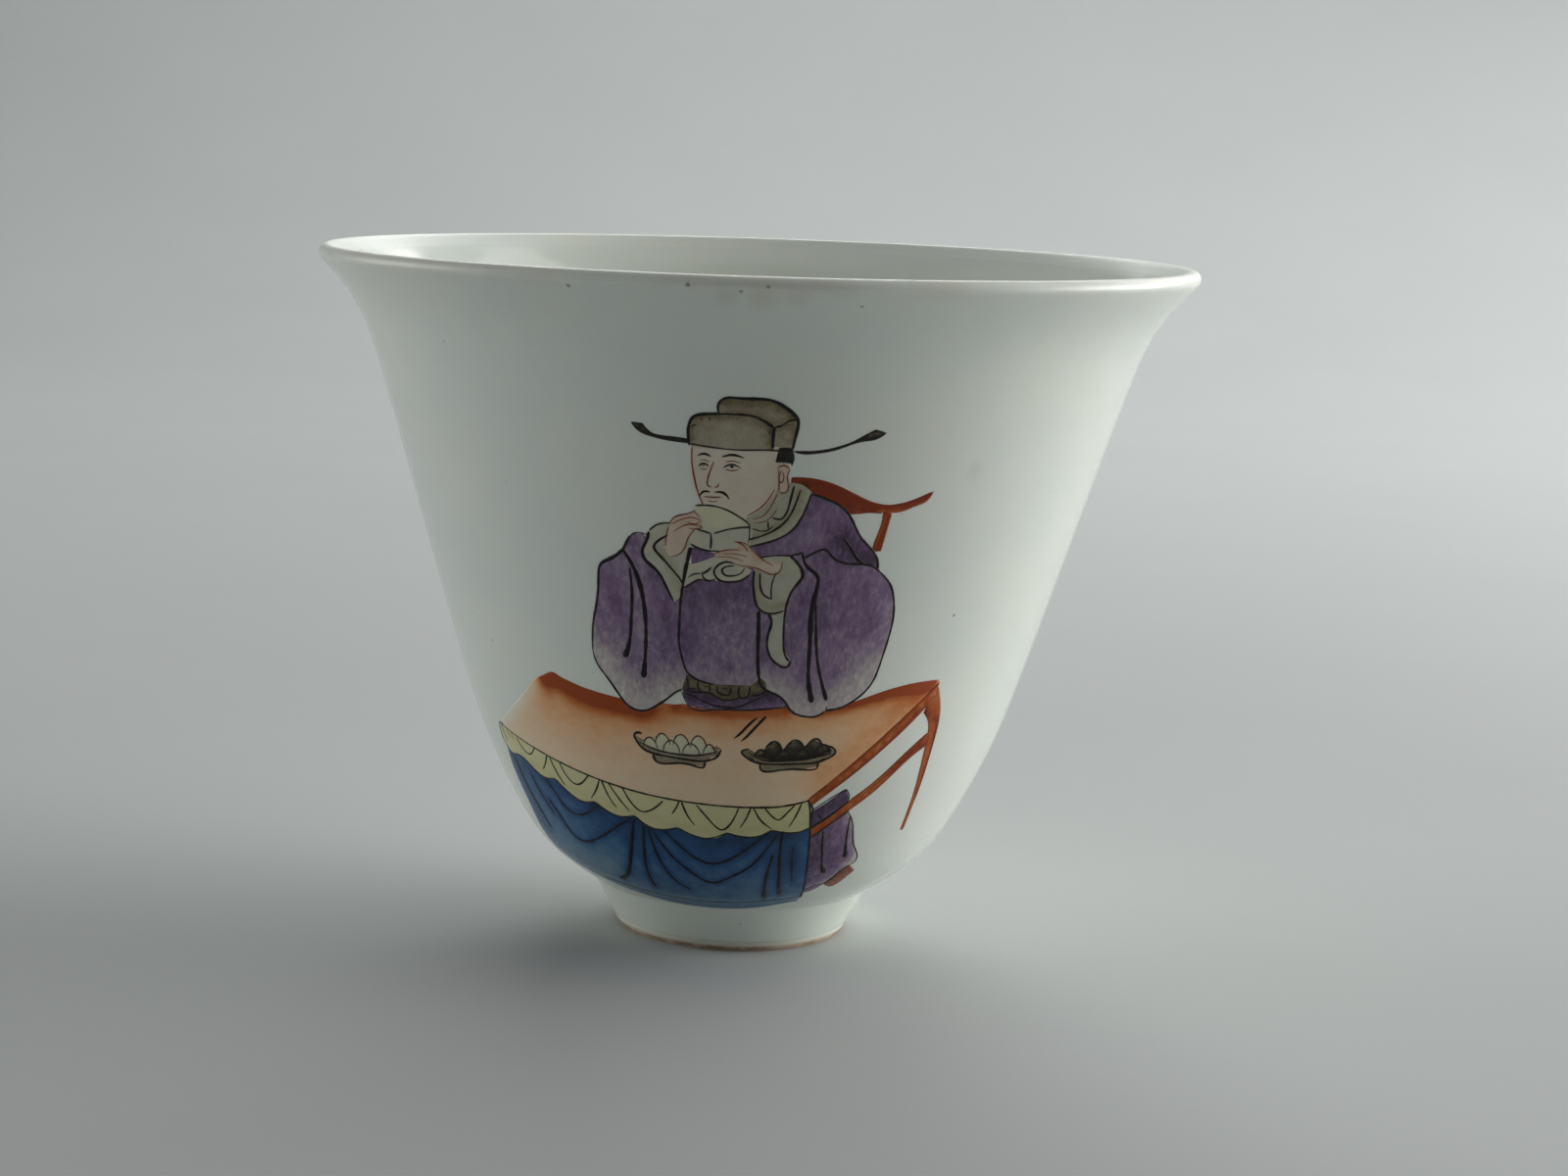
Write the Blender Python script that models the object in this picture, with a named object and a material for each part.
"""A bell-shaped porcelain tea cup, painted over the glaze with an official seated at a draped table.

Metres, +Z up. The origin is the middle of the foot ring's resting face, and the painting faces -Y.
The cup is built as it is made: a thrown and turned porcelain body, the glaze coats laid on it, and then
each field of overglaze enamel that the painter laid on the glaze, as a thin solid of its own.
"""

import math

import bmesh
import bpy
import numpy as np
from mathutils import Vector
from mathutils.geometry import delaunay_2d_cdt

MM = 0.001

# Driving dimensions of the cup, in millimetres.
CUP_HEIGHT = 63.0
MOUTH_RADIUS = 40.0
LIP_RADIUS = 0.75
FOOT_RADIUS = 10.5
FOOT_FACE_WIDTH = 0.8
FOOT_RECESS = 2.9
BARE_FOOT_HEIGHT = 0.85
GLAZE_THICKNESS = 0.25
ENAMEL_THICKNESS = 0.16

# Clearances between one layer and the next, in millimetres.
GLAZE_GAP = 0.05
ENAMEL_GAP = 0.10
FIELD_GAP = 0.04
LIP_SEAM_GAP = 0.05

# Fineness of the solids.
SEGMENTS = 44
WALL_STEP = 5.5
OUTER_LIP_STEPS = 4
INNER_LIP_STEPS = 2
FIELD_STEP = 0.9
LATTICE_STEP = 2.3
LATTICE_CLEARANCE = 0.75
WELD = 0.03

# The lip's inner and outer faces meet the wall at this angle from the vertical, in degrees.
LIP_FLARE = 44.0

# Outer wall from the foot up to the lip, and inner wall from the lip down to the well, as (radius, height).
OUTER_WALL = ((13.9, 5.15), (17.0, 7.3), (20.5, 12.0), (23.5, 18.0), (26.3, 26.0), (28.9, 34.5),
              (31.6, 43.5), (34.2, 52.0), (37.0, 58.5), (38.35, 60.2))
INNER_WALL = ((37.2, 61.2), (35.65, 59.45), (32.5, 52.6), (29.85, 44.0), (27.1, 35.05), (24.45, 26.6),
              (21.65, 18.8), (18.6, 13.1), (14.4, 9.1), (9.8, 6.9), (5.0, 5.95))
WELL_HEIGHT = 5.75
FOOT_SIDE = ((11.1, 0.95), (12.0, 2.7), (13.0, 4.6))
FOOT_INSIDE = (9.4, 0.4)
RECESS_RADIUS = 8.8

# The painting lies on the outer wall. A place on it is (degrees round the cup, millimetres above the foot),
# with 0 degrees facing -Y and positive degrees towards +X. FLAT_RADIUS turns degrees into millimetres
# while the fields are laid out flat.
FLAT_RADIUS = 28.0

# Enamel colours, as linear RGB.
HAT_GREY = (0.20, 0.19, 0.13)
INK = (0.012, 0.010, 0.010)
FLESH = (0.55, 0.43, 0.33)
CREAM = (0.52, 0.53, 0.38)
AUBERGINE = (0.15, 0.11, 0.17)
BELT_OLIVE = (0.16, 0.15, 0.10)
TABLE_RED = (0.55, 0.24, 0.10)
IRON_ORANGE = (0.42, 0.13, 0.04)
CLOTH_BLUE = (0.06, 0.15, 0.26)
VALANCE_GREEN = (0.50, 0.50, 0.24)
SHOE_BROWN = (0.22, 0.07, 0.04)
FRUIT_BLACK = (0.03, 0.03, 0.025)

# Each field of enamel is (name, colour, outline), and each outline is a ring of stretches. A stretch is a
# smooth curve through its points, and the ring has a corner where one stretch ends and the next starts.
# A field later in the list lies over an earlier one, which stops at its edge.
FIELDS = (
    ("enamel_table_cloth", CLOTH_BLUE, (
        ((-60.32, 18.79), (-62.0, 16.35), (-62.56, 12.79), (-63.82, 9.79), (-63.12, 8.45)),
        ((-63.12, 8.45), (-55.4, 7.6), (-43.95, 6.75), (-30.18, 6.1), (-11.96, 5.7), (6.04, 5.85),
         (23.76, 6.6)),
        ((23.76, 6.6), (20.62, 10.01), (18.59, 13.34), (17.45, 15.52)),
        ((17.45, 15.52), (-0.42, 14.79), (-29.09, 15.75), (-60.32, 18.79)),
    )),
    ("enamel_valance", VALANCE_GREEN, (
        ((-60.5, 20.8), (-61.25, 19.49), (-60.48, 18.48), (-57.59, 18.0)),
        ((-57.59, 18.0), (-54.48, 18.01), (-51.08, 17.22), (-47.9, 16.63), (-45.77, 16.63), (-43.96, 16.74)),
        ((-43.96, 16.74), (-41.06, 15.84), (-37.96, 15.15), (-35.35, 15.15), (-33.15, 15.3)),
        ((-33.15, 15.3), (-31.0, 14.75), (-28.33, 14.31), (-25.54, 14.36), (-23.15, 14.56)),
        ((-23.15, 14.56), (-20.92, 13.86), (-18.36, 13.52), (-15.79, 13.57), (-12.9, 13.87)),
        ((-12.9, 13.87), (-10.15, 13.38), (-6.58, 13.03), (-3.51, 13.14), (-1.35, 13.74)),
        ((-1.35, 13.74), (2.62, 13.4), (6.19, 13.51), (8.93, 14.11)),
        ((8.93, 14.11), (13.3, 13.87), (16.34, 14.03), (17.96, 14.43)),
        ((17.96, 14.43), (17.34, 15.82), (16.33, 17.4)),
        ((16.33, 17.4), (1.64, 17.17), (-20.78, 17.84), (-39.29, 19.24), (-60.5, 20.8)),
    )),
    ("enamel_robe_hem", AUBERGINE, (
        ((18.64, 13.19), (22.41, 14.55), (26.34, 15.65)),
        ((26.34, 15.65), (28.78, 14.57), (31.33, 12.38), (34.27, 10.36)),
        ((34.27, 10.36), (31.43, 9.83), (28.01, 8.26), (22.86, 7.52)),
        ((22.86, 7.52), (20.48, 10.22), (18.64, 13.19)),
    )),
    ("enamel_shoe", SHOE_BROWN, (
        ((28.05, 8.16), (30.0, 9.1), (31.46, 9.73), (32.81, 10.05)),
        ((32.81, 10.05), (35.58, 9.32)),
        ((35.58, 9.32), (34.07, 8.48), (32.91, 8.06), (30.28, 7.95), (28.05, 8.16)),
    )),
    ("enamel_robe_skirt_side", AUBERGINE, (
        ((17.55, 15.87), (20.88, 16.92), (24.3, 18.02)),
        ((24.3, 18.02), (25.31, 17.53), (25.82, 16.94)),
        ((25.82, 16.94), (21.89, 15.54), (18.16, 14.33)),
        ((18.16, 14.33), (17.55, 15.87)),
    )),
    ("enamel_table_stretcher", IRON_ORANGE, (
        ((18.27, 14.23), (21.9, 15.44), (25.92, 16.94), (29.93, 18.34), (34.41, 20.25), (38.38, 21.95),
         (41.45, 23.06)),
        ((41.45, 23.06), (41.78, 21.67)),
        ((41.78, 21.67), (38.9, 20.86), (32.95, 18.25), (26.94, 16.05), (22.41, 14.6), (18.69, 13.24)),
        ((18.69, 13.24), (18.27, 14.23)),
    )),
    ("enamel_table_leg", IRON_ORANGE, (
        ((40.03, 27.31), (41.62, 25.94), (42.82, 24.46), (43.57, 21.88), (44.07, 18.6), (44.75, 15.63),
         (45.61, 13.14)),
        ((45.61, 13.14), (44.69, 13.24)),
        ((44.69, 13.24), (43.42, 16.71), (42.24, 19.69), (41.37, 22.27), (40.34, 23.95), (38.44, 24.93)),
        ((38.44, 24.93), (40.03, 27.31)),
    )),
    ("enamel_table_top", TABLE_RED, (
        ((-60.17, 20.75), (-46.64, 19.13), (-31.07, 17.74), (-15.69, 16.75), (-0.4, 16.37), (16.13, 16.91)),
        ((16.13, 16.91), (23.87, 20.01), (31.86, 23.41), (39.93, 27.91)),
        ((39.93, 27.91), (36.34, 27.89), (27.84, 27.26), (19.82, 26.15), (7.74, 25.92), (-8.42, 25.81),
         (-18.57, 25.61)),
        ((-18.57, 25.61), (-25.69, 25.96), (-31.82, 26.47), (-37.46, 27.27)),
        ((-37.46, 27.27), (-41.6, 26.43), (-47.38, 24.44), (-53.84, 22.53), (-60.17, 20.75)),
    )),
    ("enamel_table_rail", IRON_ORANGE, (
        ((15.92, 17.15), (21.86, 19.41), (29.86, 22.91), (35.84, 25.61), (40.13, 27.71)),
        ((40.13, 27.71), (39.83, 26.22)),
        ((39.83, 26.22), (35.35, 23.92), (29.88, 21.52), (23.38, 18.91), (16.84, 16.51)),
        ((16.84, 16.51), (15.92, 17.15)),
    )),
    ("enamel_chair_rail", IRON_ORANGE, (
        ((6.53, 46.35), (9.35, 46.3), (12.88, 45.81), (15.89, 45.07), (18.9, 44.33), (22.22, 44.03),
         (25.43, 44.39)),
        ((25.43, 44.39), (28.85, 45.14)),
        ((28.85, 45.14), (28.54, 44.59), (26.43, 43.94), (22.92, 43.29), (18.9, 43.38), (14.88, 43.08)),
        ((14.88, 43.08), (11.36, 44.37), (6.43, 45.56)),
        ((6.43, 45.56), (6.53, 46.35)),
    )),
    ("enamel_chair_post", IRON_ORANGE, (
        ((21.11, 43.49), (21.1, 42.3), (20.6, 41.11), (20.29, 40.02)),
        ((20.29, 40.02), (21.8, 40.02)),
        ((21.8, 40.02), (22.1, 41.31), (22.52, 43.39)),
        ((22.52, 43.39), (21.11, 43.49)),
    )),
    ("enamel_collar", CREAM, (
        ((6.13, 45.96), (8.04, 45.76), (9.6, 45.16)),
        ((9.6, 45.16), (9.14, 43.87), (8.23, 42.68), (6.81, 41.64), (4.8, 40.99), (2.57, 40.6), (0.35, 40.3)),
        ((0.35, 40.3), (0.16, 42.38)),
        ((0.16, 42.38), (0.67, 43.18), (1.78, 44.77), (6.13, 45.96)),
    )),
    ("enamel_robe_shoulder", AUBERGINE, (
        ((9.65, 45.11), (12.27, 44.52), (14.78, 43.73), (16.28, 42.59), (18.39, 41.25), (20.79, 39.97)),
        ((20.79, 39.97), (21.39, 39.23), (21.79, 38.43)),
        ((21.79, 38.43), (14.85, 38.42), (7.81, 39.01), (2.27, 39.31), (1.06, 40.25)),
        ((1.06, 40.25), (2.57, 40.6), (4.8, 40.99), (6.81, 41.64), (8.23, 42.68), (9.14, 43.87),
         (9.65, 45.11)),
    )),
    ("enamel_skirt_front", AUBERGINE, (
        ((-10.13, 27.3), (-9.63, 26.3), (-8.72, 25.66)),
        ((-8.72, 25.66), (-4.37, 25.51), (1.69, 25.67), (9.36, 26.02)),
        ((9.36, 26.02), (9.16, 27.91), (-10.13, 27.3)),
    )),
    ("enamel_left_sleeve", AUBERGINE, (
        ((-19.4, 39.33), (-18.58, 40.03), (-17.76, 40.72), (-16.75, 40.92), (-15.84, 40.82), (-14.62, 40.32)),
        ((-14.62, 40.32), (-8.36, 35.34)),
        ((-8.36, 35.34), (-8.39, 30.37), (-9.11, 28.09)),
        ((-9.11, 28.09), (-10.64, 27.1), (-12.98, 26.25), (-15.52, 25.36), (-18.98, 24.91), (-21.22, 25.31)),
        ((-21.22, 25.31), (-23.24, 26.71), (-26.68, 28.9)),
        ((-26.68, 28.9), (-27.08, 30.19), (-26.56, 31.88), (-25.63, 33.87), (-24.7, 35.76), (-23.88, 37.75)),
        ((-23.88, 37.75), (-21.84, 38.34), (-19.4, 39.33)),
    )),
    ("enamel_right_sleeve", AUBERGINE, (
        ((21.79, 38.43), (23.89, 37.6), (25.49, 36.26), (26.38, 34.09), (26.06, 31.22), (25.25, 28.74),
         (23.23, 27.15)),
        ((23.23, 27.15), (20.02, 26.05), (16.7, 25.69)),
        ((16.7, 25.69), (15.39, 25.24), (13.28, 25.14), (10.97, 25.28), (9.46, 25.87), (7.95, 26.86),
         (5.13, 27.45)),
        ((5.13, 27.45), (3.92, 28.0), (3.13, 30.08), (2.35, 35.04)),
        ((2.35, 35.04), (5.28, 36.33), (7.71, 39.75), (9.12, 39.9)),
        ((9.12, 39.9), (9.73, 39.56)),
        ((9.73, 39.56), (11.24, 39.86), (12.45, 40.2), (13.85, 39.61), (15.66, 39.07), (19.38, 38.87),
         (21.79, 38.43)),
    )),
    ("enamel_sleeve_lining", CREAM, (
        ((4.67, 34.84), (5.07, 34.05), (4.76, 32.76), (4.8, 31.17), (5.85, 30.28), (8.67, 29.69)),
        ((8.67, 29.69), (8.87, 30.19)),
        ((8.87, 30.19), (7.77, 31.18), (7.28, 32.66), (7.28, 34.15), (7.59, 35.44)),
        ((7.59, 35.44), (4.67, 34.84)),
    )),
    ("enamel_belt", BELT_OLIVE, (
        ((-9.31, 28.59), (-10.13, 27.3)),
        ((-10.13, 27.3), (-7.4, 27.2), (-4.87, 26.75), (-2.34, 26.46), (-0.02, 26.56), (2.1, 26.96),
         (5.03, 27.45)),
        ((5.03, 27.45), (4.33, 28.49), (-0.31, 28.49), (-9.31, 28.59)),
    )),
    ("enamel_robe_front", AUBERGINE, (
        ((-8.65, 39.81), (-9.67, 36.83), (-10.34, 34.45), (-10.61, 31.47), (-10.21, 29.98), (-9.41, 28.89)),
        ((-9.41, 28.89), (-7.39, 28.24), (-5.17, 27.89), (-0.32, 27.85), (3.12, 28.1), (3.73, 28.49)),
        ((3.73, 28.49), (3.18, 30.08), (2.99, 32.36), (2.85, 34.84), (1.76, 38.31)),
        ((1.76, 38.31), (-3.29, 39.31), (-4.7, 39.81)),
        ((-4.7, 39.81), (-8.34, 40.16)),
        ((-8.34, 40.16), (-8.65, 39.81)),
    )),
    ("enamel_sash_knot", CREAM, (
        ((-9.06, 38.42), (-6.83, 38.76), (-5.21, 39.16), (-3.29, 39.41)),
        ((-3.29, 39.41), (1.35, 38.21)),
        ((1.35, 38.21), (0.74, 37.67), (-0.67, 37.27), (-2.69, 37.17), (-4.91, 37.17), (-6.53, 37.22),
         (-9.67, 36.43)),
        ((-9.67, 36.43), (-9.06, 38.42)),
    )),
    ("enamel_left_cuff", CREAM, (
        ((-11.37, 42.0), (-13.4, 41.76), (-14.82, 41.21), (-15.23, 40.22), (-16.05, 39.32), (-15.64, 38.63)),
        ((-15.64, 38.63), (-14.12, 38.03), (-12.81, 36.93), (-11.2, 35.04)),
        ((-11.2, 35.04), (-10.13, 35.44), (-9.67, 36.83), (-8.54, 40.11)),
        ((-8.54, 40.11), (-8.44, 41.6), (-11.37, 42.0)),
    )),
    ("enamel_right_cuff", CREAM, (
        ((1.66, 38.71), (1.8, 36.92), (2.35, 35.53), (3.35, 34.69), (4.97, 34.44), (7.09, 34.79)),
        ((7.09, 34.79), (7.7, 36.03), (8.71, 37.22), (9.67, 37.77)),
        ((9.67, 37.77), (8.62, 38.91), (7.31, 39.65)),
        ((7.31, 39.65), (4.79, 39.6), (1.66, 39.21)),
        ((1.66, 39.21), (1.66, 38.71)),
    )),
    ("enamel_inner_cuff", CREAM, (
        ((-8.74, 41.4), (-8.64, 40.41), (-7.13, 39.96), (-5.31, 39.81)),
        ((-5.31, 39.81), (0.55, 39.7)),
        ((0.55, 39.7), (0.66, 42.09), (-3.28, 42.09), (-8.74, 41.4)),
    )),
    ("enamel_hat_back", HAT_GREY, (
        ((-4.1, 51.23), (-4.2, 52.33), (-3.44, 52.82)),
        ((-3.44, 52.82), (0.81, 52.91), (3.64, 52.71), (5.45, 52.06), (6.76, 51.22)),
        ((6.76, 51.22), (6.7, 50.12), (6.25, 50.32)),
        ((6.25, 50.32), (0.8, 50.53), (-4.1, 51.23)),
    )),
    ("enamel_hat_side", HAT_GREY, (
        ((3.02, 50.43), (4.64, 50.72), (6.55, 51.07)),
        ((6.55, 51.07), (6.65, 50.03), (6.34, 48.59)),
        ((6.34, 48.59), (3.01, 48.64)),
        ((3.01, 48.64), (3.02, 50.43)),
    )),
    ("enamel_hat_wing_left", INK, (
        ((-7.9, 49.2), (-10.84, 49.41), (-14.28, 49.87), (-15.5, 50.57), (-16.62, 50.42)),
        ((-16.62, 50.42), (-15.6, 49.72), (-13.78, 49.32), (-10.84, 49.03), (-7.9, 48.92)),
        ((-7.9, 48.92), (-7.9, 49.2)),
    )),
    ("enamel_hat_wing_right", INK, (
        ((6.24, 48.61), (9.37, 48.63), (13.4, 49.15), (16.22, 49.97), (17.94, 50.5), (19.49, 50.22)),
        ((19.49, 50.22), (18.33, 49.73), (16.12, 49.48), (12.89, 48.83), (9.36, 48.4), (6.24, 48.32)),
        ((6.24, 48.32), (6.24, 48.61)),
    )),
    ("enamel_face", FLESH, (
        ((-8.0, 48.96), (-8.21, 47.36), (-7.81, 45.57), (-6.91, 44.08), (-5.09, 42.79)),
        ((-5.09, 42.79), (-1.25, 42.58), (1.78, 43.28), (4.0, 44.67), (4.82, 46.35), (4.43, 48.94)),
        ((4.43, 48.94), (-8.0, 48.96)),
    )),
    ("enamel_hair", INK, (
        ((3.97, 47.6), (4.07, 48.24), (4.32, 48.84)),
        ((4.32, 48.84), (6.24, 48.83)),
        ((6.24, 48.83), (6.59, 48.14), (6.59, 47.25)),
        ((6.59, 47.25), (5.33, 47.54), (3.97, 47.6)),
    )),
    ("enamel_ear", FLESH, (
        ((4.52, 47.64), (4.32, 46.95), (4.72, 45.86), (4.71, 45.06)),
        ((4.71, 45.06), (5.52, 44.91), (6.12, 45.26), (6.03, 46.35), (6.24, 47.54)),
        ((6.24, 47.54), (4.52, 47.64)),
    )),
    ("enamel_hat_front", HAT_GREY, (
        ((-8.31, 48.71), (-8.41, 49.65), (-8.1, 50.65), (-7.29, 51.24), (-5.77, 51.44)),
        ((-5.77, 51.44), (-2.03, 51.55), (1.0, 51.42), (2.42, 50.92), (3.52, 50.57)),
        ((3.52, 50.57), (3.47, 48.69)),
        ((3.47, 48.69), (-2.04, 48.55), (-8.31, 48.71)),
    )),
    ("enamel_drinking_bowl", CREAM, (
        ((-7.62, 43.59), (-5.9, 43.73), (-3.57, 43.53), (-1.45, 43.08), (0.66, 42.09)),
        ((0.66, 42.09), (-1.76, 41.84), (-5.0, 41.25)),
        ((-5.0, 41.25), (-6.31, 41.5), (-7.32, 42.29), (-7.62, 43.59)),
    )),
    ("enamel_left_hand", FLESH, (
        ((-12.49, 39.91), (-11.98, 41.11), (-11.17, 42.1), (-9.65, 42.74), (-7.82, 43.14)),
        ((-7.82, 43.14), (-6.91, 42.69), (-6.41, 41.89)),
        ((-6.41, 41.89), (-7.73, 41.55), (-8.64, 40.9), (-9.15, 40.01), (-10.07, 39.31), (-11.59, 39.02)),
        ((-11.59, 39.02), (-12.49, 39.91)),
    )),
    ("enamel_right_hand", FLESH, (
        ((-4.9, 39.46), (-3.08, 39.85), (-0.96, 40.15)),
        ((-0.96, 40.15), (-1.46, 40.65), (-0.55, 40.6), (0.86, 40.3), (2.37, 39.45), (4.18, 39.11),
         (6.1, 38.81)),
        ((6.1, 38.81), (5.49, 38.12), (4.68, 37.87), (3.17, 38.26), (1.25, 38.41), (-1.67, 38.76),
         (-4.9, 39.46)),
    )),
    ("enamel_dish_left", CREAM, (
        ((-20.55, 22.68), (-19.65, 21.78), (-16.91, 20.98)),
        ((-16.91, 20.98), (-16.52, 20.43), (-11.53, 20.19), (-6.15, 20.14)),
        ((-6.15, 20.14), (-6.04, 20.69), (-3.8, 21.09), (-2.99, 21.74), (-3.59, 22.18)),
        ((-3.59, 22.18), (-5.42, 21.83), (-11.51, 21.73), (-18.62, 22.13), (-20.55, 22.68)),
    )),
    ("enamel_dish_right", CREAM, (
        ((1.06, 21.79), (2.07, 21.25), (4.9, 20.7)),
        ((4.9, 20.7), (5.0, 20.16), (9.75, 20.07), (13.79, 20.18), (16.92, 20.48)),
        ((16.92, 20.48), (16.91, 20.93), (18.62, 21.18), (20.03, 21.88)),
        ((20.03, 21.88), (17.81, 21.98), (9.75, 21.56), (3.69, 21.65), (2.58, 21.99), (1.06, 21.79)),
    )),
    ("enamel_buns", CREAM, (
        ((-18.93, 21.88), (-17.19, 22.53), (-15.77, 22.48)),
        ((-15.77, 22.48), (-14.54, 22.97), (-12.92, 22.33)),
        ((-12.92, 22.33), (-12.1, 22.78), (-10.78, 22.97), (-9.37, 22.23)),
        ((-9.37, 22.23), (-7.64, 22.98), (-5.92, 22.28)),
        ((-5.92, 22.28), (-4.81, 22.23), (-4.0, 21.59)),
        ((-4.0, 21.59), (-6.44, 21.34), (-10.5, 21.18), (-15.07, 21.33), (-18.93, 21.88)),
    )),
    ("enamel_fruits", FRUIT_BLACK, (
        ((3.59, 21.4), (4.8, 21.9), (6.02, 22.0)),
        ((6.02, 22.0), (6.83, 22.64), (8.04, 22.7), (9.25, 22.0)),
        ((9.25, 22.0), (10.36, 22.55), (11.67, 22.9), (13.38, 22.31)),
        ((13.38, 22.31), (14.19, 22.81), (15.49, 23.06), (16.9, 22.57)),
        ((16.9, 22.57), (18.21, 22.37), (19.53, 21.83)),
        ((19.53, 21.83), (16.31, 21.38), (12.78, 21.07), (7.73, 20.96), (3.59, 21.4)),
    )),
    ("enamel_chopstick_left", INK, (
        ((-0.7, 22.88), (3.66, 25.22)),
        ((3.66, 25.22), (4.11, 25.07)),
        ((4.11, 25.07), (-0.25, 22.73)),
        ((-0.25, 22.73), (-0.7, 22.88)),
    )),
    ("enamel_chopstick_right", INK, (
        ((0.66, 22.64), (5.12, 25.17)),
        ((5.12, 25.17), (5.62, 25.03)),
        ((5.62, 25.03), (1.12, 22.49)),
        ((1.12, 22.49), (0.66, 22.64)),
    )),
)


def clear_scene():
    for obj in list(bpy.data.objects):
        bpy.data.objects.remove(obj, do_unlink=True)


def make_material(name, colour, roughness, metallic=0.0):
    material = bpy.data.materials.new(name)
    material.use_nodes = True
    shader = material.node_tree.nodes["Principled BSDF"]
    shader.inputs["Base Color"].default_value = (*colour, 1.0)
    shader.inputs["Roughness"].default_value = roughness
    shader.inputs["Metallic"].default_value = metallic
    material.diffuse_color = (*colour, 1.0)
    return material


def smooth_path(points, step):
    """Places about a step apart along the natural cubic curve through the points, both ends included."""
    points = np.array(points, float)
    chords = np.linalg.norm(np.diff(points, axis=0), axis=1)
    along = np.concatenate(([0.0], np.cumsum(chords)))
    steps = max(1, round(along[-1] / step))
    places = np.linspace(0.0, along[-1], steps + 1)
    if len(points) == 2:
        return points[0] + np.outer(places / along[-1], points[1] - points[0])
    bends = natural_bends(along, points)
    piece = np.clip(np.searchsorted(along, places, side="right") - 1, 0, len(chords) - 1)
    width = chords[piece][:, None]
    after = ((places - along[piece])[:, None]) / width
    before = 1.0 - after
    straight = before * points[piece] + after * points[piece + 1]
    bend = (before**3 - before) * bends[piece] + (after**3 - after) * bends[piece + 1]
    return straight + bend * width**2 / 6.0


def natural_bends(along, points):
    """Second derivatives at the points of the cubic through them that is straight at both ends."""
    count = len(points)
    chords = np.diff(along)[:, None]
    slopes = np.diff(points, axis=0) / chords
    system = np.eye(count)
    target = np.zeros_like(points)
    for i in range(1, count - 1):
        before, after = chords[i - 1, 0], chords[i, 0]
        system[i, i - 1:i + 2] = before, 2.0 * (before + after), after
        target[i] = 6.0 * (slopes[i] - slopes[i - 1])
    return np.linalg.solve(system, target)


def lip_arc(start_degrees, end_degrees, steps):
    """Points on the rounded lip between two angles from the outward horizontal."""
    centre = np.array((MOUTH_RADIUS - LIP_RADIUS, CUP_HEIGHT - LIP_RADIUS))
    angles = np.radians(np.linspace(start_degrees, end_degrees, steps + 1))
    return centre + LIP_RADIUS * np.column_stack((np.cos(angles), np.sin(angles)))


def outer_skin(step):
    """The glazed outer face, from the bare foot up to the crest of the lip."""
    arc = lip_arc(-LIP_FLARE, 90.0, OUTER_LIP_STEPS)
    wall = smooth_path((*OUTER_WALL, arc[0]), step)
    return np.vstack((FOOT_SIDE, wall, arc[1:]))


def inner_skin(step):
    """The glazed inner face, from the crest of the lip down to the middle of the well."""
    arc = lip_arc(90.0, 180.0 - LIP_FLARE, INNER_LIP_STEPS)
    wall = smooth_path((arc[-1], *INNER_WALL, (0.0, WELL_HEIGHT)), step)
    return np.vstack((arc[:-1], wall))


def sunk(path, depth):
    """The path moved by depth towards the porcelain, which lies to the left of its direction of travel."""
    before = np.diff(path, axis=0)
    before /= np.linalg.norm(before, axis=1)[:, None]
    normals = np.column_stack((-before[:, 1], before[:, 0]))
    first, last = normals[:1], normals[-1:]
    both = np.vstack((first, normals)) + np.vstack((normals, last))
    both /= (both**2).sum(axis=1)[:, None] / 2.0
    moved = path + depth * both
    moved[path[:, 0] == 0.0, 0] = 0.0
    return moved


def new_object(name, material, mesh, parent):
    mesh.materials.append(material)
    obj = bpy.data.objects.new(name, mesh)
    obj.parent = parent
    bpy.context.scene.collection.objects.link(obj)
    mesh.shade_smooth()
    mesh.set_sharp_from_angle(angle=math.radians(35.0))
    return obj


def turned(name, material, outline, closed, parent):
    """Spins a (radius, height) outline in millimetres round the cup's axis into a closed solid."""
    bm = bmesh.new()
    verts = [bm.verts.new((radius * MM, 0.0, height * MM)) for radius, height in outline]
    pairs = list(zip(verts, verts[1:]))
    if closed:
        pairs.append((verts[-1], verts[0]))
    edges = [bm.edges.new(pair) for pair in pairs]
    bmesh.ops.spin(bm, geom=verts + edges, cent=(0, 0, 0), axis=(0, 0, 1), angle=math.tau,
                   steps=SEGMENTS, use_merge=True)
    bmesh.ops.remove_doubles(bm, verts=bm.verts, dist=0.002 * MM)
    bmesh.ops.recalc_face_normals(bm, faces=bm.faces)
    mesh = bpy.data.meshes.new(name)
    bm.to_mesh(mesh)
    bm.free()
    return new_object(name, material, mesh, parent)


def build_body(skin, parent):
    porcelain = make_material("porcelain_biscuit", (0.46, 0.30, 0.19), 0.75)
    ceiling = FOOT_RECESS + GLAZE_THICKNESS + GLAZE_GAP
    foot = (
        (0.0, ceiling),
        (RECESS_RADIUS, ceiling),
        FOOT_INSIDE,
        (FOOT_RADIUS - FOOT_FACE_WIDTH, 0.0),
        (FOOT_RADIUS, 0.0),
        (FOOT_SIDE[0][0] - 0.1, BARE_FOOT_HEIGHT),
    )
    outline = np.vstack((foot, sunk(skin, GLAZE_THICKNESS + GLAZE_GAP)))
    turned("porcelain_body", porcelain, outline, False, parent)


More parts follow.
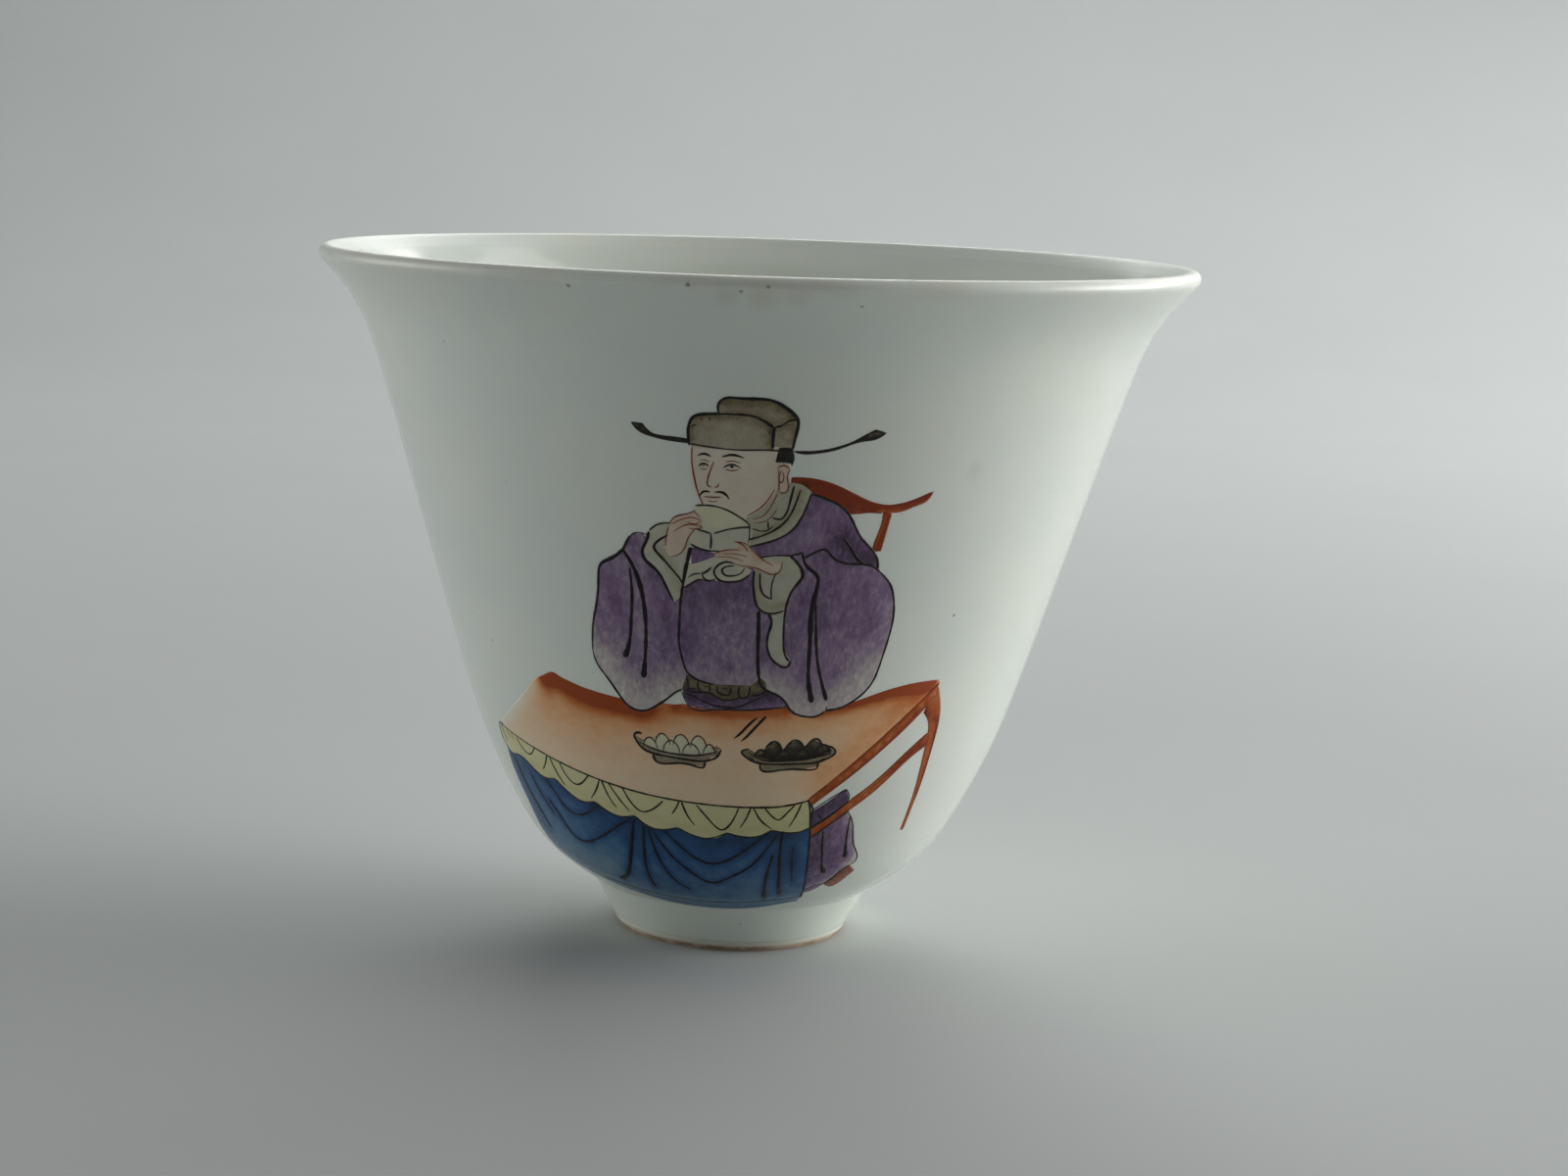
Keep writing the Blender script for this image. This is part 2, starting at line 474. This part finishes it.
def build_glazes(skin, crest, parent):
    """The coat outside, the coat inside and the one under the foot. The first two meet on the lip's crest."""
    glaze = make_material("celadon_white_glaze", (0.72, 0.80, 0.72), 0.08)
    under = sunk(skin, GLAZE_THICKNESS)
    seam = np.zeros_like(skin)
    seam[crest, 0] = LIP_SEAM_GAP / 2.0
    outside = np.vstack(((skin + seam)[:crest + 1], (under + seam)[crest::-1]))
    turned("glaze_outside", glaze, outside, True, parent)
    inside = np.vstack(((skin - seam)[:crest - 1:-1], (under - seam)[crest:]))
    turned("glaze_inside", glaze, inside, False, parent)
    rim = RECESS_RADIUS - GLAZE_THICKNESS - GLAZE_GAP
    disc = ((0.0, FOOT_RECESS), (rim, FOOT_RECESS), (rim, FOOT_RECESS + GLAZE_THICKNESS),
            (0.0, FOOT_RECESS + GLAZE_THICKNESS))
    turned("glaze_base", glaze, disc, False, parent)


def wall_table():
    """Heights on the outer wall with its radius and slope there, fine enough to read between."""
    wall = outer_skin(0.1)
    slope = np.gradient(wall[:, 0], wall[:, 1] + 1e-9 * np.arange(len(wall)))
    return wall[:, 1], wall[:, 0], slope


def on_wall(flat, lift, table):
    """A laid-flat place carried onto the outer wall, lifted off it along its normal, in metres."""
    heights, radii, slopes = table
    turn = flat[0] / FLAT_RADIUS
    radius = np.interp(flat[1], heights, radii)
    slope = np.interp(flat[1], heights, slopes)
    length = math.hypot(1.0, slope)
    radius += lift / length
    height = flat[1] - lift * slope / length
    return Vector((math.sin(turn) * radius, -math.cos(turn) * radius, height)) * MM


def flat_ring(outline):
    """A field's outline as an anticlockwise ring of places in laid-flat millimetres."""
    ring = []
    for stretch in outline:
        points = [(math.radians(degrees) * FLAT_RADIUS, height) for degrees, height in stretch]
        ring.extend(tuple(place) for place in smooth_path(points, FIELD_STEP)[:-1])
    twice_area = sum(a[0] * b[1] - b[0] * a[1] for a, b in zip(ring, ring[1:] + ring[:1]))
    return ring if twice_area > 0 else ring[::-1]


def lattice(rings):
    """Staggered places between the outlines, so that wide fields follow the curve of the wall."""
    edges = np.array([place for ring in rings for place in ring])
    low, high = edges.min(axis=0), edges.max(axis=0)
    places = []
    rows = int((high[1] - low[1]) / LATTICE_STEP)
    columns = int((high[0] - low[0]) / LATTICE_STEP)
    for row in range(1, rows + 1):
        for column in range(columns + 1):
            place = low + LATTICE_STEP * np.array((column + 0.5 * (row % 2), row))
            if np.linalg.norm(edges - place, axis=1).min() > LATTICE_CLEARANCE:
                places.append(tuple(place))
    return places


def planar_map(rings):
    """Triangles of all the fields laid flat, each with the number of the field that lies on top there."""
    places = []
    faces = []
    for ring in rings:
        faces.append(list(range(len(places), len(places) + len(ring))))
        places.extend(ring)
    places.extend(lattice(rings))
    result = delaunay_2d_cdt([Vector(place) for place in places], [], faces, 1, WELD, True)
    verts, triangles, owners = result[0], result[2], result[5]
    owned = [(tuple(triangle), max(owner)) for triangle, owner in zip(triangles, owners) if owner]
    return verts, owned


def fans_round(vertex, triangles):
    """Groups of the triangles at a vertex that hang together by edges."""
    groups = []
    for triangle in triangles:
        joined = [group for group in groups if any(len(set(triangle) & set(other)) == 2 for other in group)]
        groups = [group for group in groups if group not in joined]
        groups.append([triangle] + [other for group in joined for other in group])
    return groups


def one_piece(triangles):
    """The largest edge-connected piece, with no two parts of it meeting only at a point."""
    triangles = set(triangles)
    while True:
        at_vertex = {}
        for triangle in sorted(triangles):
            for vertex in triangle:
                at_vertex.setdefault(vertex, []).append(triangle)
        dropped = set()
        for vertex, around in at_vertex.items():
            groups = sorted(fans_round(vertex, around), key=len)
            for group in groups[:-1]:
                dropped.update(group)
        if not dropped:
            break
        triangles -= dropped
    by_edge = {}
    for triangle in triangles:
        for i in range(3):
            by_edge.setdefault(frozenset((triangle[i], triangle[i - 1])), []).append(triangle)
    best = []
    left = set(triangles)
    while left:
        piece = [min(left)]
        left.discard(piece[0])
        for triangle in piece:
            for i in range(3):
                for other in by_edge[frozenset((triangle[i], triangle[i - 1]))]:
                    if other in left:
                        left.discard(other)
                        piece.append(other)
        best = max(best, piece, key=len)
    return best


def rim_of(triangles):
    """Edges of the piece's rim, each in the direction of its triangle."""
    directed = {(triangle[i - 1], triangle[i]) for triangle in triangles for i in range(3)}
    return [edge for edge in sorted(directed) if edge[::-1] not in directed]


def inset_places(places, rim):
    """The piece's places, with those on its rim drawn in by the gap between neighbouring fields."""
    inward = {}
    for start, end in rim:
        along = (places[end] - places[start]).normalized()
        for vertex in (start, end):
            inward[vertex] = inward.get(vertex, Vector((0.0, 0.0))) + Vector((-along.y, along.x))
    moved = dict(places)
    for vertex, direction in inward.items():
        if direction.length > 0.2:
            moved[vertex] = places[vertex] + direction.normalized() * FIELD_GAP
    return moved


def build_field(name, material, verts, triangles, table, parent):
    """One field of enamel: the flat piece carried onto the wall and given its thickness."""
    rim = rim_of(triangles)
    places = {vertex: verts[vertex] for triangle in triangles for vertex in triangle}
    places = inset_places(places, rim)
    bm = bmesh.new()
    bottom = {v: bm.verts.new(on_wall(place, ENAMEL_GAP, table)) for v, place in places.items()}
    lift = ENAMEL_GAP + ENAMEL_THICKNESS
    top = {v: bm.verts.new(on_wall(place, lift, table)) for v, place in places.items()}
    for triangle in triangles:
        bm.faces.new([top[v] for v in triangle])
        bm.faces.new([bottom[v] for v in reversed(triangle)])
    for start, end in rim:
        bm.faces.new((top[end], top[start], bottom[start], bottom[end]))
    mesh = bpy.data.meshes.new(name)
    bm.to_mesh(mesh)
    bm.free()
    return new_object(name, material, mesh, parent)


def build_painting(parent):
    table = wall_table()
    rings = [flat_ring(outline) for _, _, outline in FIELDS]
    verts, owned = planar_map(rings)
    for number, (name, colour, _) in enumerate(FIELDS):
        triangles = one_piece(triangle for triangle, owner in owned if owner == number)
        material = make_material(name, colour, 0.25)
        build_field(name, material, verts, triangles, table, parent)


def main():
    clear_scene()
    cup = bpy.data.objects.new("tea_cup", None)
    bpy.context.scene.collection.objects.link(cup)
    outer = outer_skin(WALL_STEP)
    skin = np.vstack((outer, inner_skin(WALL_STEP)[1:]))
    build_body(skin, cup)
    build_glazes(skin, len(outer) - 1, cup)
    build_painting(cup)


main()
